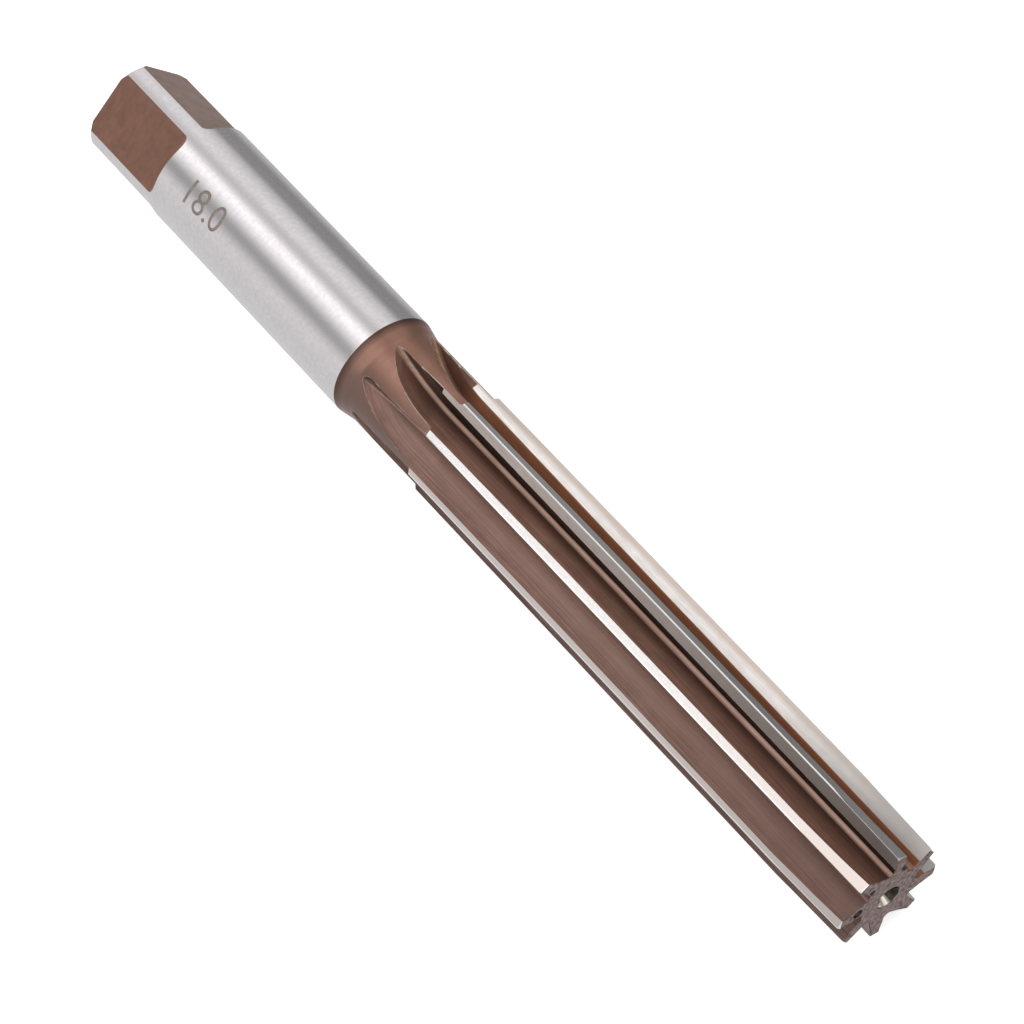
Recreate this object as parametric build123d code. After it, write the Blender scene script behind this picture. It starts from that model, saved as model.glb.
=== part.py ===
from build123d import *
import math
import os

# Hand reamer for an 18 mm hole: one bar of tool steel, turned, milled and ground.
# It lies along X with the cutting end towards +X, and its shank touches the plane z = 0.
# Angles are in degrees about +X, from +Y towards +Z. Lengths are in millimetres.

# Lengths along the axis
shank_length = 63.7
neck_length = 17.3
cutting_length = 95.0

# Diameters
shank_diameter = 17.95
neck_diameter = 16.7
cutting_diameter = 18.02
core_diameter = 9.6

# Driving square at the end of the shank
square_across_flats = 14.5
square_length = 17.2
square_corner_radius = 1.3
square_angle = 32.3

# Turned edges and tapers
shank_end_chamfer = 0.7
shoulder_length = 2.6
shoulder_radius = 3.0
lead_length = 13.5
lead_drop = 0.3
front_chamfer = 0.3

# Teeth: the same four unequal pitches fill each half turn
half_turn_pitches = [46.0, 44.0, 42.0, 48.0]
first_edge_angle = -107.8
land_width = 1.15
margin_width = 0.25
lead_margin_width = 0.05
relief_angle = 14.0

# Flutes: a wheel cutter leaves a radial face, a round root and a straight tooth back
root_radius = 0.8
cutter_radius = 26.0
flute_overrun = 0.7
run_out_sweep = 60.0

# Centre holes in both end faces
centre_cone_diameter = 3.8
centre_cone_angle = 60.0
centre_pilot_diameter = 2.0
centre_pilot_length = 2.0

# How far a cutting shape stands clear of the metal that it leaves
clear = 3.0

# Places and radii that follow from the sizes above
overall_length = shank_length + neck_length + cutting_length
shank_end = -overall_length / 2
front = overall_length / 2
collar = shank_end + shank_length
body_start = collar + neck_length
lead_start = front - lead_length
flute_start = body_start - flute_overrun
shank_radius = shank_diameter / 2
neck_radius = neck_diameter / 2
cutting_radius = cutting_diameter / 2
core_radius = core_diameter / 2
land_angle = math.degrees(land_width / cutting_radius)


def polar(radius, angle):
    # Point of a cross-section, with the angle in degrees
    return Vector(radius * math.cos(math.radians(angle)), radius * math.sin(math.radians(angle)))


def turned_blank():
    # Shank, shoulder, neck, body, lead and chamfers, turned about the axis
    body_step = cutting_radius - neck_radius
    lead_end_radius = cutting_radius - lead_drop
    outline = Polyline(
        (shank_end, 0),
        (shank_end, shank_radius - shank_end_chamfer),
        (shank_end + shank_end_chamfer, shank_radius),
        (collar, shank_radius),
        (collar + shoulder_length, neck_radius),
        (body_start, neck_radius),
        (body_start + body_step, cutting_radius),
        (lead_start, cutting_radius),
        (front - front_chamfer, lead_end_radius),
        (front, lead_end_radius - front_chamfer),
        (front, 0),
        close=True,
    )
    half_section = make_face(outline)
    shoulder_middle = collar + shoulder_length / 2
    shoulder_corners = half_section.vertices().sort_by(lambda corner: abs(corner.X - shoulder_middle))[:2]
    return revolve(fillet(shoulder_corners, shoulder_radius), Axis.X)


def flat_cutter(angle):
    # Clears one flat of the square, with a rounded corner against the shank
    flat_height = square_across_flats / 2
    flat_end = shank_end + square_length
    outer = shank_radius + clear
    block = make_face(
        Polyline(
            (shank_end - clear, flat_height),
            (flat_end, flat_height),
            (flat_end, outer),
            (shank_end - clear, outer),
            close=True,
        )
    )
    inner_corner = block.vertices().sort_by(lambda corner: corner.X - corner.Y)[-1]
    cutter = extrude(fillet(inner_corner, square_corner_radius), shank_radius + clear, both=True)
    return Rot(X=angle) * cutter


def flute_section(opening):
    # Section of one flute with its cutting face along local X. The back leads to the next tooth's heel
    root_centre = Vector(math.sqrt((core_radius + root_radius) ** 2 - root_radius**2), root_radius)
    heel = polar(cutting_radius, opening)
    to_heel = heel - root_centre
    heel_direction = math.degrees(math.atan2(to_heel.Y, to_heel.X))
    touch_angle = heel_direction + math.degrees(math.acos(root_radius / to_heel.length))
    touch = root_centre + polar(root_radius, touch_angle)
    back_top = heel + (heel - touch).normalized() * clear
    face_top = Vector(cutting_radius + clear, 0)
    face_foot = Vector(root_centre.X, 0)
    face = Line(face_top, face_foot)
    root = CenterArc(root_centre, root_radius, touch_angle, 270 - touch_angle)
    back = Line(touch, back_top)
    return make_face([face, root, back, Line(back_top, face_top)])


def flute_cutters(angle, opening):
    # Full depth along the body, then the curve that the wheel cutter leaves on the neck
    section = Plane.YZ.offset(flute_start) * flute_section(opening)
    along_body = extrude(section, front + clear - flute_start)
    wheel_axis = Axis((flute_start, core_radius + cutter_radius, 0), (0, 0, -1))
    run_out = revolve(section, wheel_axis, run_out_sweep)
    return [Rot(X=angle) * along_body, Rot(X=angle) * run_out]


def relief_section(margin):
    # Clears the land behind the cutting edge, past a narrow strip left at full radius
    margin_angle = math.degrees(margin / cutting_radius)
    start = polar(cutting_radius, -margin_angle)
    past_heel = polar(land_width + root_radius, -margin_angle - 90 - relief_angle)
    outward = polar(clear, -margin_angle)
    return make_face(
        Polyline(start, start + past_heel, start + past_heel + outward, start + outward, close=True)
    )


def relief_cutters(angle):
    # Relief behind the margin of the body, and behind the edge of the tapered lead
    body_relief = extrude(
        Plane.YZ.offset(body_start - clear) * relief_section(margin_width),
        front + 2 * clear - body_start,
    )
    along_lead = (lead_length - front_chamfer, -lead_drop, 0)
    lead_relief = extrude(
        Plane.YZ.offset(lead_start) * relief_section(lead_margin_width),
        lead_length + clear,
        dir=along_lead,
    )
    return [Rot(X=angle) * body_relief, Rot(X=angle) * lead_relief]


def centre_hole(face_place, inward):
    # Cone and pilot drilled into one end face, along the axis
    cone_radius = centre_cone_diameter / 2
    pilot_radius = centre_pilot_diameter / 2
    cone_depth = (cone_radius - pilot_radius) / math.tan(math.radians(centre_cone_angle / 2))
    pilot_end = cone_depth + centre_pilot_length
    tip_end = pilot_end + pilot_radius / math.tan(math.radians(centre_cone_angle))
    outline = Polyline(
        (face_place, 0),
        (face_place, cone_radius),
        (face_place + inward * cone_depth, pilot_radius),
        (face_place + inward * pilot_end, pilot_radius),
        (face_place + inward * tip_end, 0),
        close=True,
    )
    return revolve(make_face(outline), Axis.X)


def teeth():
    # Angle of each cutting edge and of the flute in front of it
    angle = first_edge_angle
    for pitch in half_turn_pitches + half_turn_pitches:
        yield angle, pitch - land_angle
        angle += pitch


def hand_reamer():
    tool = turned_blank()
    for quarter in range(4):
        tool -= flat_cutter(square_angle + 90 * quarter)
    for angle, opening in teeth():
        tool -= flute_cutters(angle, opening)
    for angle, opening in teeth():
        tool -= relief_cutters(angle)
    tool -= centre_hole(shank_end, 1)
    tool -= centre_hole(front, -1)
    return Pos(Z=shank_radius) * tool


os.makedirs("parts", exist_ok=True)
reamer = hand_reamer()
reamer.label = "hand_reamer"
export_step(reamer, "parts/hand_reamer.step")
print("hand_reamer", round(reamer.volume, 1), "mm3", reamer.bounding_box())
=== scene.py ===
import math

import bpy
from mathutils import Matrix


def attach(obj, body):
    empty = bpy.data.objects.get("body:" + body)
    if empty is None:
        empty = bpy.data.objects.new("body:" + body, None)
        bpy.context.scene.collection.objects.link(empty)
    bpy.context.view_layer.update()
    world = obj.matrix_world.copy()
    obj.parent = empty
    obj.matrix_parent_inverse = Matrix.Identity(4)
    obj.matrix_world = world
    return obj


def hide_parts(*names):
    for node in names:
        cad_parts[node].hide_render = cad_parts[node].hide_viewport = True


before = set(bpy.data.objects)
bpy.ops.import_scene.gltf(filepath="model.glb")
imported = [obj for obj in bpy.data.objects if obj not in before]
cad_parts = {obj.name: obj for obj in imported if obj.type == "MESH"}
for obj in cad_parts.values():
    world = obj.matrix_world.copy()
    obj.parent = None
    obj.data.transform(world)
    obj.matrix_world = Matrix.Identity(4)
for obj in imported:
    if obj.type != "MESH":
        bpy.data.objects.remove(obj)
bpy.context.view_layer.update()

# Sizes are in millimetres and angles in degrees. The tool is shaped about X, then lifted onto the floor
mm = 0.001
axisHeight = 8.975
smoothAngle = 9
touching = 1e-6  # two places closer than this, in metres, are the same


def deselectAll():
    if bpy.context.object and bpy.context.object.mode != "OBJECT":
        bpy.ops.object.mode_set(mode="OBJECT")
    bpy.ops.object.select_all(action="DESELECT")


def pick(piece):
    deselectAll()
    piece.select_set(True)
    bpy.context.view_layer.objects.active = piece


def selectFaces(piece, wanted):
    # Leaves edit mode on, with just the faces that pass the test selected
    pick(piece)
    mesh = piece.data
    mesh.vertices.foreach_set("select", [False] * len(mesh.vertices))
    mesh.edges.foreach_set("select", [False] * len(mesh.edges))
    mesh.polygons.foreach_set("select", [wanted(face) for face in mesh.polygons])
    bpy.ops.object.mode_set(mode="EDIT")
    bpy.ops.mesh.select_mode(type="FACE")


def dressFaces(piece, finishes, chosen):
    # Gives each face the finish that chosen() names for it
    for finish in finishes:
        piece.data.materials.append(finish)
    names = [finish.name for finish in finishes]
    for face in piece.data.polygons:
        face.material_index = names.index(chosen(face))


def carve(piece, cutter):
    # Takes the cutter's shape out of the piece; the new faces keep the cutter's finish
    pick(cutter)
    bpy.ops.object.mode_set(mode="EDIT")
    bpy.ops.mesh.select_all(action="SELECT")
    bpy.ops.mesh.normals_make_consistent(inside=False)
    pick(piece)
    cut = piece.modifiers.new("cut", "BOOLEAN")
    cut.operation = "DIFFERENCE"
    cut.solver = "MANIFOLD"
    cut.material_mode = "TRANSFER"
    cut.object = cutter
    bpy.ops.object.modifier_apply(modifier=cut.name)
    bpy.data.objects.remove(cutter, do_unlink=True)


def polar(radius, angle):
    return radius * math.cos(math.radians(angle)), radius * math.sin(math.radians(angle))


def compute(tree, operation, *values):
    # Adds one math node and gives its result; each value is a number or a socket
    node = tree.nodes.new("ShaderNodeMath")
    node.operation = operation
    for socket, value in zip(node.inputs, values):
        if isinstance(value, (int, float)):
            socket.default_value = value
        else:
            tree.links.new(value, socket)
    return node.outputs[0]


def ramp(tree, value, low, high, first, last):
    # Goes from first to last while the value goes from low to high
    node = tree.nodes.new("ShaderNodeMapRange")
    for name, number in (("From Min", low), ("From Max", high), ("To Min", first), ("To Max", last)):
        node.inputs[name].default_value = number
    tree.links.new(value, node.inputs["Value"])
    return node.outputs["Result"]


def noise(tree, place, scale, detail):
    node = tree.nodes.new("ShaderNodeTexNoise")
    node.inputs["Scale"].default_value = scale
    node.inputs["Detail"].default_value = detail
    tree.links.new(place, node.inputs["Vector"])
    return node.outputs["Fac"]


def mixColours(tree, share, first, second):
    # The colour goes from first to second with the share; second is a plain colour
    node = tree.nodes.new("ShaderNodeMix")
    node.data_type = "RGBA"
    tree.links.new(share, node.inputs[0])
    tree.links.new(first, node.inputs[6])
    node.inputs[7].default_value = (*second, 1)
    return node.outputs[2]


# Finishes: every one works from the place along the tool, the angle round it and the distance from its axis
def roundTheAxis():
    group = bpy.data.node_groups.new("roundTheAxis", "ShaderNodeTree")
    for name in ("along", "angle", "away"):
        group.interface.new_socket(name, in_out="OUTPUT", socket_type="NodeSocketFloat")
    place = group.nodes.new("ShaderNodeTexCoord")
    parts = group.nodes.new("ShaderNodeSeparateXYZ")
    ends = group.nodes.new("NodeGroupOutput")
    group.links.new(place.outputs["Object"], parts.inputs[0])
    along = compute(group, "MULTIPLY", parts.outputs["X"], 1 / mm)
    side = compute(group, "MULTIPLY", parts.outputs["Y"], 1 / mm)
    height = compute(group, "MULTIPLY_ADD", parts.outputs["Z"], 1 / mm, -axisHeight)
    angle = compute(group, "ARCTAN2", height, side)
    squares = compute(group, "MULTIPLY_ADD", side, side, compute(group, "MULTIPLY", height, height))
    away = compute(group, "POWER", squares, 0.5)
    for name, socket in zip(("along", "angle", "away"), (along, angle, away)):
        group.links.new(socket, ends.inputs[name])
    return group


axisGroup = roundTheAxis()

# What all finishes share: how fine the machining lines and clouds are, and how an edge is told from a flat
grain = {
    "lineDetail": 3.0, "cloudDetail": 5.0,
    "edgeSamples": 6, "edgeFacing": (0.99, 0.93),
    "patchScale": 450.0, "patchDetail": 2.0, "patchTones": (0.46, 0.56), "leastPatch": 0.08,
}


def steelFinish(name, look):
    # look: colours, metal, roughness, and the lines left by machining, as how many there are to
    # a millimetre along the tool, to a radian round it and to a millimetre outwards
    material = bpy.data.materials.new(name)
    material.use_nodes = True
    tree = material.node_tree
    shader = tree.nodes["Principled BSDF"]
    place = tree.nodes.new("ShaderNodeGroup")
    place.node_tree = axisGroup
    spread = tree.nodes.new("ShaderNodeCombineXYZ")
    for socket, output, share in zip(spread.inputs, ("along", "angle", "away"), look["lines"]):
        tree.links.new(compute(tree, "MULTIPLY", place.outputs[output], share), socket)
    lines = noise(tree, spread.outputs[0], 1.0, grain["lineDetail"])
    spot = tree.nodes.new("ShaderNodeTexCoord")
    clouds = noise(tree, spot.outputs["Object"], look["cloudScale"], grain["cloudDetail"])
    lineShare = compute(tree, "MULTIPLY", lines, 1 - look["cloudShare"])
    pattern = compute(tree, "MULTIPLY_ADD", clouds, look["cloudShare"], lineShare)

    tone = tree.nodes.new("ShaderNodeValToRGB")
    shades = (look["dark"], look["light"])
    for element, position, shade in zip(tone.color_ramp.elements, look["tones"], shades):
        element.position = position
        element.color = (*shade, 1)
    tree.links.new(pattern, tone.inputs["Fac"])
    colour = tone.outputs["Color"]
    gloss = ramp(tree, pattern, *look["tones"], look["roughest"], look["smoothest"])
    bump = tree.nodes.new("ShaderNodeBump")
    bump.inputs["Strength"].default_value = look["bump"]
    bump.inputs["Distance"].default_value = look["depth"] * mm
    tree.links.new(pattern, bump.inputs["Height"])

    for direction, low, high, strength, tint in look.get("tints", []):
        # Another colour further along the tool, further round it or further from its axis
        share = ramp(tree, place.outputs[direction], low, high, 0, strength)
        colour = mixColours(tree, share, colour, tint)
    if "edgeRadius" in look:
        # Edges have another tone, in places more than in others: bright ones are painted glints on partly
        # rubbed steel, dark ones are painted shade on partly burred edges
        rounded = tree.nodes.new("ShaderNodeBevel")
        rounded.samples = grain["edgeSamples"]
        rounded.inputs["Radius"].default_value = look["edgeRadius"] * mm
        tree.links.new(rounded.outputs["Normal"], bump.inputs["Normal"])
        plain = tree.nodes.new("ShaderNodeNewGeometry")
        facing = tree.nodes.new("ShaderNodeVectorMath")
        facing.operation = "DOT_PRODUCT"
        tree.links.new(rounded.outputs["Normal"], facing.inputs[0])
        tree.links.new(plain.outputs["Normal"], facing.inputs[1])
        edge = ramp(tree, facing.outputs["Value"], *grain["edgeFacing"], 0, 1)
        outer = ramp(tree, place.outputs["away"], *look["edgeFrom"], 0, 1)
        mottle = noise(tree, spot.outputs["Object"], grain["patchScale"], grain["patchDetail"])
        patches = ramp(tree, mottle, *grain["patchTones"], grain["leastPatch"], 1)
        edgeWearAndLight = compute(tree, "MULTIPLY", compute(tree, "MULTIPLY", edge, outer), patches)
        colour = mixColours(tree, edgeWearAndLight, colour, look["edgeWearAndLightColour"])
    shader.inputs["Metallic"].default_value = look["metal"]
    tree.links.new(colour, shader.inputs["Base Color"])
    tree.links.new(gloss, shader.inputs["Roughness"])
    shader.inputs["Sheen Weight"].default_value = look.get("sheen", 0)
    tree.links.new(bump.outputs["Normal"], shader.inputs["Normal"])
    return material


groundShank = steelFinish("ground_shank", {
    "metal": 1.0, "light": (0.84, 0.80, 0.81), "dark": (0.74, 0.70, 0.71),
    "smoothest": 0.2, "roughest": 0.28, "tones": (0.35, 0.65),
    "lines": (11.0, 2.5, 0.0), "cloudScale": 1500.0, "cloudShare": 0.5, "bump": 0.08, "depth": 0.01,
})
groundMargin = steelFinish("ground_margin", {
    "metal": 1.0, "light": (0.97, 0.96, 0.95), "dark": (0.90, 0.89, 0.88),
    "smoothest": 0.14, "roughest": 0.2, "tones": (0.35, 0.65),
    "lines": (2.5, 20.0, 0.0), "cloudScale": 900.0, "cloudShare": 0.3, "bump": 0.2, "depth": 0.01,
})
land = {
    "metal": 1.0, "light": (0.73, 0.70, 0.685), "dark": (0.63, 0.605, 0.595),
    "smoothest": 0.16, "roughest": 0.24, "tones": (0.35, 0.65),
    "lines": (2.5, 40.0, 2.0), "cloudScale": 900.0, "cloudShare": 0.3, "bump": 0.3, "depth": 0.01,
    # The angle tint is painted light: the lands on the lower side, which face the floor, turn warmer
    "tints": [("angle", 2.3, 2.6, 0.8, (0.80, 0.70, 0.66)), ("along", 50.0, 82.0, 1, (0.66, 0.58, 0.54))],
}
groundLand = steelFinish("ground_land", land)
# This land turns darker towards the front
frontDarkLand = steelFinish("front_dark_land", {**land, "tints": [("along", 32.0, 58.0, 1, (0.48, 0.455, 0.45))]})
groundFace = steelFinish("ground_face", {
    "metal": 0.5, "light": (1.0, 0.98, 0.965), "dark": (0.78, 0.74, 0.71),
    "smoothest": 0.28, "roughest": 0.46, "tones": (0.35, 0.6),
    "lines": (0.2, 2.0, 14.0), "cloudScale": 700.0, "cloudShare": 0.2, "bump": 0.5, "depth": 0.02,
    # The along tint is painted shade: the faces turn darker towards the front, partly from a rougher grind
    # there
    "tints": [("away", 7.7, 8.5, 1, (0.64, 0.55, 0.49)), ("along", 56.0, 84.0, 1, (0.42, 0.40, 0.385))],
})
# Painted shade: a copy of the ground face that turns much darker towards the front
shadedFace = steelFinish("shaded_face", {
    "metal": 0.5, "light": (1.0, 0.95, 0.92), "dark": (0.74, 0.68, 0.64),
    "smoothest": 0.28, "roughest": 0.46, "tones": (0.35, 0.6),
    "lines": (0.2, 2.0, 14.0), "cloudScale": 700.0, "cloudShare": 0.2, "bump": 0.5, "depth": 0.02,
    "tints": [("along", 6.0, 84.0, 1, (0.25, 0.225, 0.21))],
})
turnedFilm = steelFinish("turned_film", {
    "metal": 0.75, "light": (0.40, 0.213, 0.153), "dark": (0.27, 0.14, 0.10),
    "smoothest": 0.26, "roughest": 0.36, "tones": (0.3, 0.7),
    "lines": (5.0, 1.0, 0.0), "cloudScale": 260.0, "cloudShare": 0.7, "bump": 0.25, "depth": 0.02,
    "tints": [
        # The angle tint is painted shade on the neck's lower side
        ("angle", 1.65, 2.35, 0.8, (0.17, 0.112, 0.095)),
        ("along", -23.0, -24.2, 1, (0.11, 0.06, 0.045)),
    ],
    # Painted glints along the flute edges, on partly rubbed steel
    "edgeRadius": 0.12, "edgeFrom": (8.1, 8.25), "edgeWearAndLightColour": (0.9, 0.82, 0.74),
})
milled = {
    "metal": 0.65, "light": (0.275, 0.157, 0.125), "dark": (0.155, 0.085, 0.067),
    "smoothest": 0.3, "roughest": 0.46, "tones": (0.36, 0.64),
    "lines": (0.12, 3.0, 5.0), "cloudScale": 300.0, "cloudShare": 0.28, "bump": 0.4, "depth": 0.03,
    "tints": [
        ("away", 8.0, 6.7, 0.6, (0.29, 0.18, 0.148)),
        ("along", 20.0, 84.0, 0.45, (0.11, 0.065, 0.052)),
    ],
}
milledFilm = steelFinish("milled_film", milled)
# Painted light: a lighter, tan copy of the milled film for a flute back turned to the light
litTanFilm = steelFinish("lit_tan_film", {
    **milled, "metal": 0.2, "light": (0.40, 0.22, 0.14), "dark": (0.26, 0.135, 0.085), "tints": [],
})
# Its away tint is painted shade, darker towards the root of the flute; its bright edges are painted glints
brownFilm = steelFinish("brown_film", {
    **milled, "light": (0.32, 0.165, 0.115), "dark": (0.18, 0.085, 0.058),
    "tints": [("away", 8.6, 5.6, 1, (0.125, 0.061, 0.041))],
    "edgeRadius": 0.12, "edgeFrom": (8.1, 8.25), "edgeWearAndLightColour": (0.9, 0.86, 0.8),
})
shadeFilm = steelFinish("shade_film", {
    **milled, "light": (0.17, 0.10, 0.085), "dark": (0.09, 0.052, 0.044), "tints": [],
})
# Painted highlight: a lighter copy of the milled film along one flute's root, fading towards the run-out
rootHighlightFilm = steelFinish("root_highlight_film", {
    **milled, "metal": 0.8, "light": (0.33, 0.215, 0.17), "dark": (0.24, 0.148, 0.11),
    "smoothest": 0.26, "roughest": 0.36, "tints": [("along", -16.0, -22.0, 0.8, (0.19, 0.11, 0.085))],
})
foot = {
    "metal": 0.6, "light": (0.34, 0.145, 0.075), "dark": (0.20, 0.085, 0.045),
    "smoothest": 0.28, "roughest": 0.4, "tones": (0.32, 0.68),
    "lines": (0.12, 3.0, 9.0), "cloudScale": 300.0, "cloudShare": 0.3, "bump": 0.4, "depth": 0.03,
    "tints": [("along", -8.0, -12.0, 0.85, (0.105, 0.052, 0.036))],
    # Painted glints along the upper flute edges, on partly rubbed steel
    "edgeRadius": 0.2, "edgeFrom": (8.05, 8.25), "edgeWearAndLightColour": (0.9, 0.86, 0.8),
}
footFilm = steelFinish("foot_film", foot)
# Painted shade: a near-black copy of the foot film for a face in deep shade, turning brown again in the
# run-out
shadedFoot = steelFinish("shaded_foot", {
    **foot, "light": (0.035, 0.018, 0.012), "dark": (0.015, 0.008, 0.006),
    "tints": [("along", -8.0, -14.0, 1, (0.11, 0.065, 0.05))],
})
squareFilm = steelFinish("square_film", {
    "metal": 0.6, "light": (0.29, 0.142, 0.094), "dark": (0.195, 0.091, 0.059),
    "smoothest": 0.42, "roughest": 0.55, "tones": (0.3, 0.7),
    "lines": (1.5, 3.0, 1.5), "cloudScale": 500.0, "cloudShare": 0.6, "bump": 0.3, "depth": 0.03,
    "sheen": 0.25,
})
endFilm = steelFinish("end_film", {
    "metal": 0.6, "light": (0.335, 0.236, 0.219), "dark": (0.107, 0.071, 0.063),
    "smoothest": 0.42, "roughest": 0.6, "tones": (0.36, 0.64),
    "lines": (1.0, 2.0, 3.0), "cloudScale": 1500.0, "cloudShare": 0.75, "bump": 0.8, "depth": 0.1,
    # Painted shade along the edges of the front face, over some burrs
    "edgeRadius": 0.7, "edgeFrom": (2.4, 2.6), "edgeWearAndLightColour": (0.03, 0.02, 0.018),
})
# Painted shade in the dents
pitShade = steelFinish("pit_shade", {
    "metal": 0.5, "light": (0.10, 0.07, 0.06), "dark": (0.03, 0.02, 0.018),
    "smoothest": 0.3, "roughest": 0.5, "tones": (0.35, 0.65),
    "lines": (2.0, 2.0, 2.0), "cloudScale": 1500.0, "cloudShare": 0.7, "bump": 0.3, "depth": 0.02,
})
# Painted shade inside the centre hole, and a painted glint on one side of its cone
boreShadeAndGlint = steelFinish("bore_shade_and_glint", {
    "metal": 1.0, "light": (0.06, 0.052, 0.042), "dark": (0.015, 0.013, 0.01),
    "smoothest": 0.08, "roughest": 0.2, "tones": (0.35, 0.65),
    "lines": (8.0, 1.0, 0.0), "cloudScale": 900.0, "cloudShare": 0.3, "bump": 0.3, "depth": 0.01,
    "tints": [("angle", -1.45, -1.75, 1, (1.0, 0.95, 0.78))],
})
markFilm = steelFinish("mark_film", {
    "metal": 0.4, "light": (0.34, 0.27, 0.23), "dark": (0.24, 0.19, 0.16),
    "smoothest": 0.45, "roughest": 0.6, "tones": (0.3, 0.7),
    "lines": (2.0, 2.0, 0.0), "cloudScale": 1500.0, "cloudShare": 0.8, "bump": 0.2, "depth": 0.01,
})
print("finishes made")

# The turned and ground bar: each row is a place along the axis and the radius there
bar = {
    "sides": 240,
    "shankEnd": (-88.0, 8.275),
    "filmFrom": -24.5,
    "teethFrom": -7.0,
    "endFacing": 0.99,
    "rows": [
        (-87.3, 8.975), (-24.655, 8.975), (-24.48, 8.964), (-24.3, 8.932), (-24.1, 8.892),
        (-21.9, 8.433), (-21.7, 8.385), (-21.5, 8.358), (-21.35, 8.35),
        (-7.0, 8.35), (-6.34, 9.01), (74.5, 9.01), (87.7, 8.71), (88.0, 8.41),
    ],
}


def turnedBar():
    endPlace, endRadius = bar["shankEnd"]
    bpy.ops.mesh.primitive_circle_add(
        vertices=bar["sides"], radius=endRadius * mm, fill_type="NGON",
        location=(endPlace * mm, 0, 0), rotation=(0, math.pi / 2, 0),
    )
    piece = bpy.context.object
    bpy.ops.object.transform_apply()
    bpy.ops.object.mode_set(mode="EDIT")
    bpy.ops.mesh.select_mode(type="FACE")
    bpy.ops.mesh.select_all(action="SELECT")
    bpy.ops.mesh.extrude_region_move()
    place, radius = endPlace, endRadius
    for nextPlace, nextRadius in bar["rows"]:
        bpy.ops.transform.translate(value=((nextPlace - place) * mm, 0, 0))
        share = nextRadius / radius
        bpy.ops.transform.resize(value=(1, share, share), center_override=(nextPlace * mm, 0, 0))
        if (nextPlace, nextRadius) != bar["rows"][-1]:
            bpy.ops.mesh.extrude_region_move()
        place, radius = nextPlace, nextRadius
    bpy.ops.mesh.select_all(action="SELECT")
    bpy.ops.mesh.normals_make_consistent(inside=False)
    bpy.ops.object.mode_set(mode="OBJECT")

    def finishAt(face):
        place = face.center.x / mm
        if abs(face.normal.x) > bar["endFacing"]:
            return "end_film"
        if place < bar["filmFrom"]:
            return "ground_shank"
        return "turned_film" if place < bar["teethFrom"] else "ground_margin"

    dressFaces(piece, [groundShank, turnedFilm, groundMargin, endFilm], finishAt)
    return piece


# The driving square: four flats, each with a rounded inner corner against the shank
square = {
    "halfWidth": 7.25, "inner": -70.8, "corner": 1.3, "cornerSteps": 16, "firstAngle": 32.3,
    "deep": 7.0, "wide": 28.0, "clear": 3.0,
}


def flatCutter(angle):
    low, high = square["halfWidth"], square["halfWidth"] + square["deep"]
    left, right = bar["shankEnd"][0] - square["clear"], square["inner"]
    bpy.ops.mesh.primitive_cube_add(size=1, location=((left + right) / 2 * mm, (low + high) / 2 * mm, 0))
    cutter = bpy.context.object
    cutter.scale = ((right - left) * mm, (high - low) * mm, square["wide"] * mm)
    bpy.ops.object.transform_apply()
    mesh = cutter.data
    mesh.vertices.foreach_set("select", [False] * len(mesh.vertices))
    mesh.polygons.foreach_set("select", [False] * len(mesh.polygons))

    def isInnerCorner(edge):
        ends = [mesh.vertices[index].co for index in edge.vertices]
        return all(abs(end.x - right * mm) < touching and abs(end.y - low * mm) < touching for end in ends)

    corner = [isInnerCorner(edge) for edge in mesh.edges]
    for edge, wanted in zip(mesh.edges, corner):
        if wanted:
            for index in edge.vertices:
                mesh.vertices[index].select = True
    mesh.edges.foreach_set("select", corner)
    bpy.ops.object.mode_set(mode="EDIT")
    bpy.ops.mesh.select_mode(type="EDGE")
    bpy.ops.mesh.bevel(offset=square["corner"] * mm, segments=square["cornerSteps"], affect="EDGES")
    bpy.ops.object.mode_set(mode="OBJECT")
    dressFaces(cutter, [squareFilm], lambda face: "square_film")
    cutter.rotation_euler = (math.radians(angle), 0, 0)
    bpy.ops.object.transform_apply()
    return cutter


# Teeth and flutes. The same four unequal pitches fill each half turn. Each ring is a section of every flute:
# the width of the next tooth's land and its margin, the end of the ground face, and the drop of the lead.
# The ground face leans out below groundBend, and a ledge of film stands proud of it at its foot.
# footTop and rootTop are how far the foot and the root reach from the face
teeth = {
    "pitches": [46, 44, 42, 48],
    "firstEdge": -107.8,
    "radius": 9.01,
    "root": 0.8,
    "rootSteps": 24,
    "relief": 14.0,
    "rings": [
        {"place": -7.7, "land": 0.95, "margin": 0.25, "foot": 7.2, "drop": 0.0},
        {"place": 20.0, "land": 1.15, "margin": 0.25, "foot": 6.9, "drop": 0.0},
        {"place": 74.5, "land": 1.15, "margin": 0.25, "foot": 6.52, "drop": 0.0},
        {"place": 77.0, "land": 1.15, "margin": 0.05, "foot": 6.51, "drop": 0.057},
        {"place": 82.5, "land": 1.18, "margin": 0.05, "foot": 6.48, "drop": 0.182},
        {"place": 91.0, "land": 1.5, "margin": 0.05, "foot": 6.48, "drop": 0.375},
    ],
    "sweep": 60.0,
    "sweepSteps": 60,
    "clear": 3.0,
    "groundFrom": -10.7,
    "groundBend": 8.3,
    "groundLean": 0.18,
    "groundLedge": 0.24,
    "footTop": 0.38,
    "rootTop": 1.05,
    "landWithin": 10,
    "landFrom": 8.4,
    "landFacing": 0.9,
}
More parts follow.
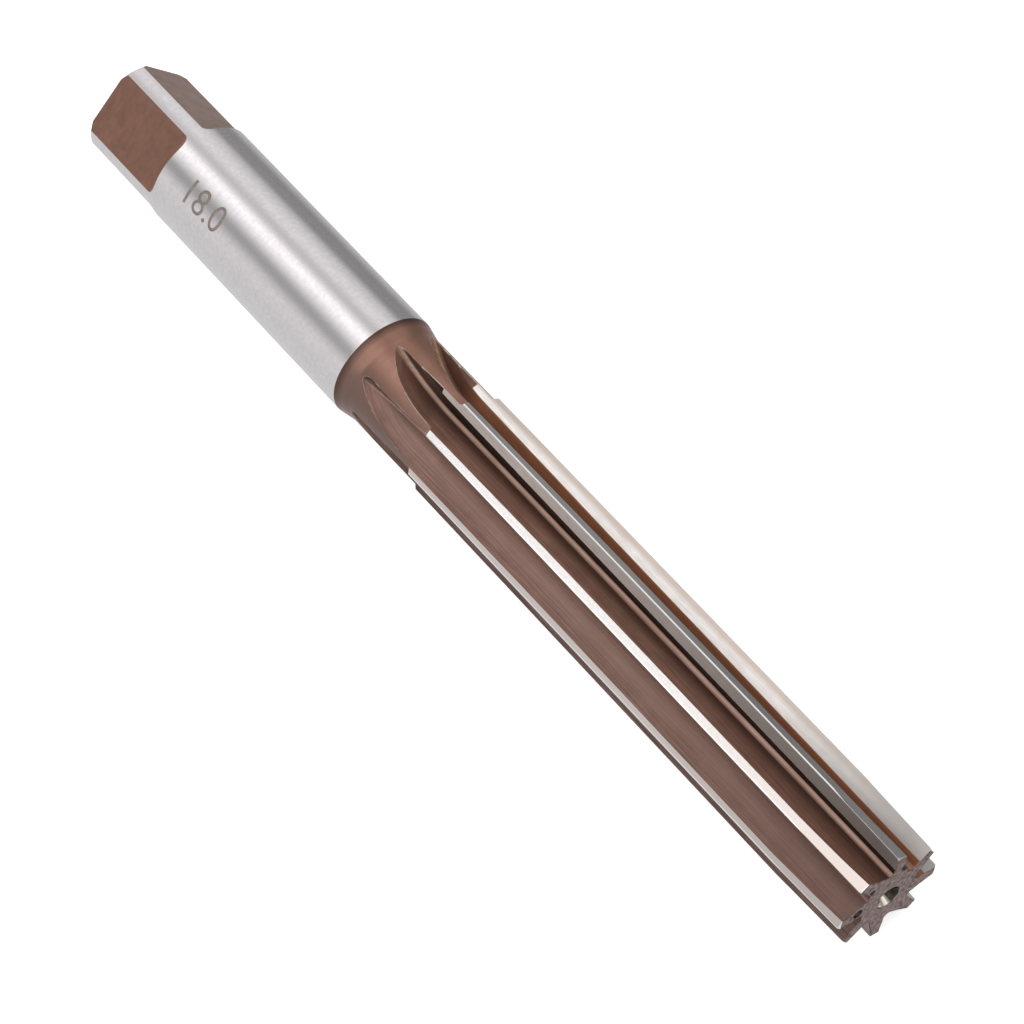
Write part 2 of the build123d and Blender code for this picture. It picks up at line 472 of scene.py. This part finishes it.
# How each flute is cut and finished: the turn of its edge from the regular place, how much wider it is, the
# radius that it leaves at its root and that of its wheel cutter. Some flutes differ from the rest, in shape
# and in lighter or darker copies of the films that paint light and shade on them
fluteLook = {
    "turn": 0, "wider": 0, "core": 4.8, "wheel": 26.0,
    "face": groundFace, "foot": footFilm, "root": milledFilm, "back": milledFilm, "land": groundLand,
}
fluteLooks = {
    3: {"root": litTanFilm, "back": litTanFilm, "land": frontDarkLand},
    4: {
        "core": 5.5, "wheel": 31.5, "face": shadedFace, "foot": shadedFoot, "root": rootHighlightFilm, "back": brownFilm,
    },
    5: {"turn": -0.5, "wider": 2.5, "root": shadeFilm},
    6: {"turn": 3, "wider": -3, "root": shadeFilm, "back": shadeFilm},
}


def fluteOutline(pitch, look, ring):
    # Corners of a flute's section, with its cutting face along Y and the next tooth's land at its far side
    radius, root, ledge = teeth["radius"], teeth["root"], teeth["groundLedge"]
    middleY = root + ledge
    middleX = math.sqrt((look["core"] + root) ** 2 - middleY**2)
    opening = pitch - math.degrees(ring["land"] / radius)
    heelX, heelY = polar(radius, opening)
    reach = math.hypot(heelX - middleX, heelY - middleY)
    heading = math.degrees(math.atan2(heelY - middleY, heelX - middleX))
    touch = heading + math.degrees(math.acos(root / reach))
    arc = []
    for step in range(teeth["rootSteps"] + 1):
        dx, dy = polar(root, 270 + (touch - 270) * step / teeth["rootSteps"])
        arc.append((middleX + dx, middleY + dy))

    # The land leaves the full radius at its margin and falls away to the heel by the relief angle
    marginAngle = pitch - math.degrees(ring["margin"] / radius)
    top = polar(radius - ring["drop"], marginAngle)
    fallX, fallY = polar(1, marginAngle - 90 - teeth["relief"])
    backX, backY = heelX - arc[-1][0], heelY - arc[-1][1]
    share = ((top[0] - heelX) * fallY - (top[1] - heelY) * fallX) / (backX * fallY - backY * fallX)
    heel = (heelX + backX * share, heelY + backY * share)
    outside = polar(radius + teeth["clear"], marginAngle)
    lean, foot = teeth["groundLean"], ring["foot"]
    ground = [(radius + teeth["clear"], 0.0), (teeth["groundBend"], 0.0), (foot, lean)]
    return ground + [(foot - ledge + lean, ledge)] + arc + [heel, top, outside]


def fluteCutter(angle, pitch, look):
    first, *others = teeth["rings"]
    start = first["place"]
    outline = fluteOutline(pitch, look, first)
    bpy.ops.mesh.primitive_circle_add(vertices=len(outline), radius=mm, fill_type="NGON")
    cutter = bpy.context.object
    for vertex, corner in zip(cutter.data.vertices, outline):
        vertex.co = (start * mm, corner[0] * mm, corner[1] * mm)
    bpy.ops.object.mode_set(mode="EDIT")
    bpy.ops.mesh.select_mode(type="FACE")
    bpy.ops.mesh.select_all(action="SELECT")
    bpy.ops.mesh.spin(
        steps=teeth["sweepSteps"], angle=math.radians(teeth["sweep"]), axis=(0, 0, 1),
        center=(start * mm, (look["core"] + look["wheel"]) * mm, 0),
    )
    capCorners = len(outline)
    selectFaces(
        cutter,
        lambda face: len(face.vertices) == capCorners and abs(face.center.x - start * mm) < touching,
    )
    # Each further ring keeps its corners in the order of the last one, by the nearest corner
    for ring in others:
        bpy.ops.mesh.extrude_region_move()
        bpy.ops.object.mode_set(mode="OBJECT")
        moved = fluteOutline(pitch, look, ring)
        for vertex in cutter.data.vertices:
            if vertex.select:
                gaps = [math.hypot(vertex.co.y / mm - y, vertex.co.z / mm - z) for y, z in outline]
                y, z = moved[gaps.index(min(gaps))]
                vertex.co = (ring["place"] * mm, y * mm, z * mm)
        outline = moved
        bpy.ops.object.mode_set(mode="EDIT")
    bpy.ops.object.mode_set(mode="OBJECT")

    def finishAt(face):
        y, z = face.center.y / mm, face.center.z / mm
        away = math.hypot(y, z)
        if abs(z) < teeth["groundLean"] and face.center.x / mm > teeth["groundFrom"]:
            return look["face"].name
        if z < teeth["footTop"]:
            return look["foot"].name
        if z < teeth["rootTop"]:
            return look["root"].name
        behindEdge = pitch - math.degrees(math.atan2(z, y))
        facingOut = -(face.normal.y * y + face.normal.z * z) / away
        onLand = 0 < behindEdge < teeth["landWithin"] and away > teeth["landFrom"]
        if onLand and facingOut > teeth["landFacing"]:
            return look["land"].name
        return look["back"].name

    dressFaces(cutter, [look[area] for area in ("face", "foot", "root", "back", "land")], finishAt)
    cutter.rotation_euler = (math.radians(angle), 0, 0)
    pick(cutter)
    bpy.ops.object.transform_apply()
    return cutter


# Centre holes in both end faces: a cone with a pilot and a drill point behind it
centre = {
    "cone": 1.9, "coneAngle": 60.0, "pilot": 1.0, "pilotLength": 2.0, "tip": 0.05, "tipLength": 0.55,
    "clear": 1.0, "sides": 48,
}


def centreCutter(place, inward):
    slope = math.tan(math.radians(centre["coneAngle"] / 2))
    outer = centre["cone"] + centre["clear"] * slope
    bpy.ops.mesh.primitive_circle_add(
        vertices=centre["sides"], radius=outer * mm, fill_type="NGON",
        location=((place - centre["clear"] * inward) * mm, 0, 0), rotation=(0, math.pi / 2, 0),
    )
    cutter = bpy.context.object
    bpy.ops.object.transform_apply()
    depth = (centre["cone"] - centre["pilot"]) / slope
    bottom = depth + centre["pilotLength"]
    point = (bottom + centre["tipLength"], centre["tip"])
    rows = [(depth, centre["pilot"]), (bottom, centre["pilot"]), point]
    at, radius = -centre["clear"], outer
    bpy.ops.object.mode_set(mode="EDIT")
    bpy.ops.mesh.select_mode(type="FACE")
    bpy.ops.mesh.select_all(action="SELECT")
    for nextAt, nextRadius in rows:
        bpy.ops.mesh.extrude_region_move()
        bpy.ops.transform.translate(value=((nextAt - at) * inward * mm, 0, 0))
        share = nextRadius / radius
        spot = ((place + nextAt * inward) * mm, 0, 0)
        bpy.ops.transform.resize(value=(1, share, share), center_override=spot)
        at, radius = nextAt, nextRadius
    bpy.ops.object.mode_set(mode="OBJECT")
    dressFaces(cutter, [boreShadeAndGlint], lambda face: "bore_shade_and_glint")
    return cutter


# Small dents in the front face, at the feet of three teeth: place across, place up and radius
dents = {"places": [(3.7, 4.7, 0.75), (-5.1, 2.3, 0.75), (-2.2, 4.9, 0.45)], "segments": 16, "rings": 10}


def dentCutter(across, up, radius):
    place = (bar["rows"][-1][0] * mm, across * mm, up * mm)
    bpy.ops.mesh.primitive_uv_sphere_add(
        segments=dents["segments"], ring_count=dents["rings"], radius=radius * mm, location=place,
    )
    cutter = bpy.context.object
    bpy.ops.object.transform_apply()
    dressFaces(cutter, [pitShade], lambda face: "pit_shade")
    return cutter


body = turnedBar()
print("bar turned")
for quarter in range(4):
    carve(body, flatCutter(square["firstAngle"] + 90 * quarter))
edgeAngle = teeth["firstEdge"]
for number, pitch in enumerate(teeth["pitches"] * 2):
    look = {**fluteLook, **fluteLooks.get(number, {})}
    carve(body, fluteCutter(edgeAngle + look["turn"], pitch + look["wider"], look))
    edgeAngle += pitch
carve(body, centreCutter(bar["shankEnd"][0], 1))
carve(body, centreCutter(bar["rows"][-1][0], -1))
for across, up, radius in dents["places"]:
    carve(body, dentCutter(across, up, radius))
print("square, flutes and centre holes cut:", len(body.data.polygons), "faces")

pick(body)
bpy.ops.object.mode_set(mode="EDIT")
bpy.ops.mesh.select_all(action="SELECT")
bpy.ops.transform.translate(value=(0, 0, axisHeight * mm))
bpy.ops.object.mode_set(mode="OBJECT")
bpy.ops.object.shade_smooth_by_angle(angle=math.radians(smoothAngle))
body.name = "reamer_body"
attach(body, "root")
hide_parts("hand_reamer")

# The size of the hole, marked on the shank as a plain number that reads towards the cutting end
mark = {
    "text": "18.0", "thinner": 0.004, "start": -64.6, "length": 8.3, "height": 4.2,
    "baseline": 134.0, "strips": 12, "foot": 8.968, "thickness": 0.02,
}


def sizeMark():
    deselectAll()
    bpy.ops.object.text_add()
    piece = bpy.context.object
    piece.data.body = mark["text"]
    piece.data.offset = -mark["thinner"]
    bpy.ops.object.convert(target="MESH")
    piece = bpy.context.object
    across = [vertex.co.x for vertex in piece.data.vertices]
    up = [vertex.co.y for vertex in piece.data.vertices]
    left, low = min(across), min(up)
    wide, high = max(across) - left, max(up) - low
    bpy.ops.object.mode_set(mode="EDIT")
    for strip in range(1, mark["strips"]):
        bpy.ops.mesh.select_all(action="SELECT")
        bpy.ops.mesh.bisect(plane_co=(0, low + high * strip / mark["strips"], 0), plane_no=(0, 1, 0))
    bpy.ops.object.mode_set(mode="OBJECT")
    for vertex in piece.data.vertices:
        place = mark["start"] + (vertex.co.x - left) / wide * mark["length"]
        climb = (vertex.co.y - low) / high * mark["height"]
        y, z = polar(mark["foot"], mark["baseline"] - math.degrees(climb / mark["foot"]))
        vertex.co = (place * mm, y * mm, (z + axisHeight) * mm)
    raised = piece.modifiers.new("raised", "SOLIDIFY")
    raised.thickness = mark["thickness"] * mm
    raised.offset = 1.0
    bpy.ops.object.modifier_apply(modifier=raised.name)
    dressFaces(piece, [markFilm], lambda face: "mark_film")
    piece.name = "size_mark"
    return piece


raisedNumber = sizeMark()
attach(raisedNumber, "root")
print("size marked")

# Floor, white to the camera and in reflections, with the tool's own soft shadow
table = {"size": 6000, "grey": 0.72, "glow": 0.62}


def paperFloor():
    bpy.ops.mesh.primitive_plane_add(size=table["size"] * mm)
    floor = bpy.context.object
    floor.name = "floor"
    paper = bpy.data.materials.new("floor_paper")
    paper.use_nodes = True
    tree = paper.node_tree
    tree.nodes.remove(tree.nodes["Principled BSDF"])
    matt = tree.nodes.new("ShaderNodeBsdfDiffuse")
    matt.inputs["Color"].default_value = (table["grey"], table["grey"], table["grey"], 1)
    glow = tree.nodes.new("ShaderNodeEmission")
    rays = tree.nodes.new("ShaderNodeLightPath")
    seen = compute(tree, "MAXIMUM", rays.outputs["Is Camera Ray"], rays.outputs["Is Glossy Ray"])
    seen = compute(tree, "MAXIMUM", seen, rays.outputs["Is Transmission Ray"])
    tree.links.new(compute(tree, "MULTIPLY", seen, table["glow"]), glow.inputs["Strength"])
    both = tree.nodes.new("ShaderNodeAddShader")
    tree.links.new(matt.outputs[0], both.inputs[0])
    tree.links.new(glow.outputs[0], both.inputs[1])
    tree.links.new(both.outputs[0], tree.nodes["Material Output"].inputs["Surface"])
    floor.data.materials.append(paper)


paperFloor()

# Glowing cards that only reflections see are painted reflections: grey for the table, dark beside the tool,
# and one over the shank. Each has its reach along X and Y, the width of the soft edge at each end, its
# height and its brightness
cardColour = (0.98, 0.99, 1.0)
cards = {
    "low_card": {
        "X": (-3000, 3000), "softX": (4, 4),
        "Y": (-3000, 3000), "softY": (4, 4),
        "height": 0.3, "level": 0.72,
    },
    "side_card": {
        "X": (-500, 500), "softX": (4, 4),
        "Y": (5, 3000), "softY": (37, 4),
        "height": 0.4, "level": 0.27,
    },
    "shank_card": {
        "X": (-230, -34), "softX": (12, 16),
        "Y": (-112, -4), "softY": (54, 34),
        "height": 69, "level": 0.37,
    },
}


def studioCard(name, look):
    deselectAll()
    bpy.ops.mesh.primitive_plane_add(size=1.0)
    card = bpy.context.object
    card.name = name
    for index, axis in enumerate("XY"):
        low, high = look[axis]
        card.location[index] = (low + high) / 2 * mm
        card.scale[index] = (high - low) * mm
    card.location[2] = look["height"] * mm
    bpy.ops.object.transform_apply()
    board = bpy.data.materials.new(name)
    board.use_nodes = True
    tree = board.node_tree
    tree.nodes.remove(tree.nodes["Principled BSDF"])
    spot = tree.nodes.new("ShaderNodeTexCoord")
    parts = tree.nodes.new("ShaderNodeSeparateXYZ")
    tree.links.new(spot.outputs["Object"], parts.inputs[0])
    cover = 1
    for axis in "XY":
        (low, high), (softLow, softHigh) = look[axis], look["soft" + axis]
        rise = ramp(tree, parts.outputs[axis], low * mm, (low + softLow) * mm, 0, 1)
        fall = ramp(tree, parts.outputs[axis], (high - softHigh) * mm, high * mm, 1, 0)
        cover = compute(tree, "MULTIPLY", compute(tree, "MULTIPLY", rise, fall), cover)
    clear = tree.nodes.new("ShaderNodeBsdfTransparent")
    shade = tree.nodes.new("ShaderNodeEmission")
    shade.inputs["Color"].default_value = (*cardColour, 1)
    shade.inputs["Strength"].default_value = look["level"]
    mixed = tree.nodes.new("ShaderNodeMixShader")
    tree.links.new(cover, mixed.inputs["Fac"])
    tree.links.new(clear.outputs[0], mixed.inputs[1])
    tree.links.new(shade.outputs[0], mixed.inputs[2])
    tree.links.new(mixed.outputs[0], tree.nodes["Material Output"].inputs["Surface"])
    card.data.materials.append(board)
    card.visible_camera = False
    card.visible_diffuse = False
    card.visible_shadow = False
    card.visible_transmission = False


for name, look in cards.items():
    studioCard(name, look)

# Light tent far outside the floor, which the camera looks through. Each band is an angle round the tool's
# axis above the floor, and how bright the tent is there
tent = {
    "radius": 10000,
    "segments": 64,
    "rings": 32,
    "strength": 1.5,
    "bands": [
        (0, 0.15), (9, 0.16), (14, 0.22), (23, 0.44), (31, 0.49), (48, 0.6), (56, 0.56), (66, 0.36),
        (72, 0.38), (80, 0.6), (88, 0.95), (97, 0.92), (112, 0.9), (136, 0.92), (150, 0.52), (180, 0.5),
    ],
}


def lightTent():
    deselectAll()
    bpy.ops.mesh.primitive_uv_sphere_add(
        segments=tent["segments"], ring_count=tent["rings"], radius=tent["radius"] * mm,
    )
    piece = bpy.context.object
    piece.name = "light_tent"
    cloth = bpy.data.materials.new("tent_cloth")
    cloth.use_nodes = True
    cloth.cycles.emission_sampling = "NONE"  # rays find so large a light by themselves
    tree = cloth.node_tree
    tree.nodes.remove(tree.nodes["Principled BSDF"])
    spot = tree.nodes.new("ShaderNodeTexCoord")
    parts = tree.nodes.new("ShaderNodeSeparateXYZ")
    tree.links.new(spot.outputs["Object"], parts.inputs[0])
    turn = compute(tree, "ARCTAN2", compute(tree, "ABSOLUTE", parts.outputs["Z"]), parts.outputs["Y"])
    bands = tree.nodes.new("ShaderNodeValToRGB")
    steps = bands.color_ramp.elements
    while len(steps) < len(tent["bands"]):
        steps.new(0.5)
    for step, (angle, level) in zip(steps, tent["bands"]):
        step.position = angle / 180
        step.color = (level, level, level, 1)
    tree.links.new(compute(tree, "DIVIDE", turn, math.pi), bands.inputs["Fac"])
    shine = tree.nodes.new("ShaderNodeEmission")
    shine.inputs["Strength"].default_value = tent["strength"]
    tree.links.new(bands.outputs["Color"], shine.inputs["Color"])
    tree.links.new(shine.outputs[0], tree.nodes["Material Output"].inputs["Surface"])
    piece.data.materials.append(cloth)
    piece.visible_camera = False


lightTent()

# Plain white behind the tent
world = bpy.data.worlds.new("studio")
bpy.context.scene.world = world
world.use_nodes = True
world.node_tree.nodes["Background"].inputs["Color"].default_value = (1, 1, 1, 1)

# Camera at the photograph's angle
view = {
    "lens": 136.05, "place": (261.74, -102.37, 486.51), "turn": (28.4643, 9.2470, 51.7511), "nearest": 10,
}
bpy.ops.object.camera_add(
    location=[value * mm for value in view["place"]],
    rotation=[math.radians(value) for value in view["turn"]],
)
camera = bpy.context.object
camera.data.lens = view["lens"]
camera.data.clip_start = view["nearest"] * mm
bpy.context.scene.camera = camera
bpy.context.scene.view_settings.view_transform = "Standard"
print("studio and camera set")
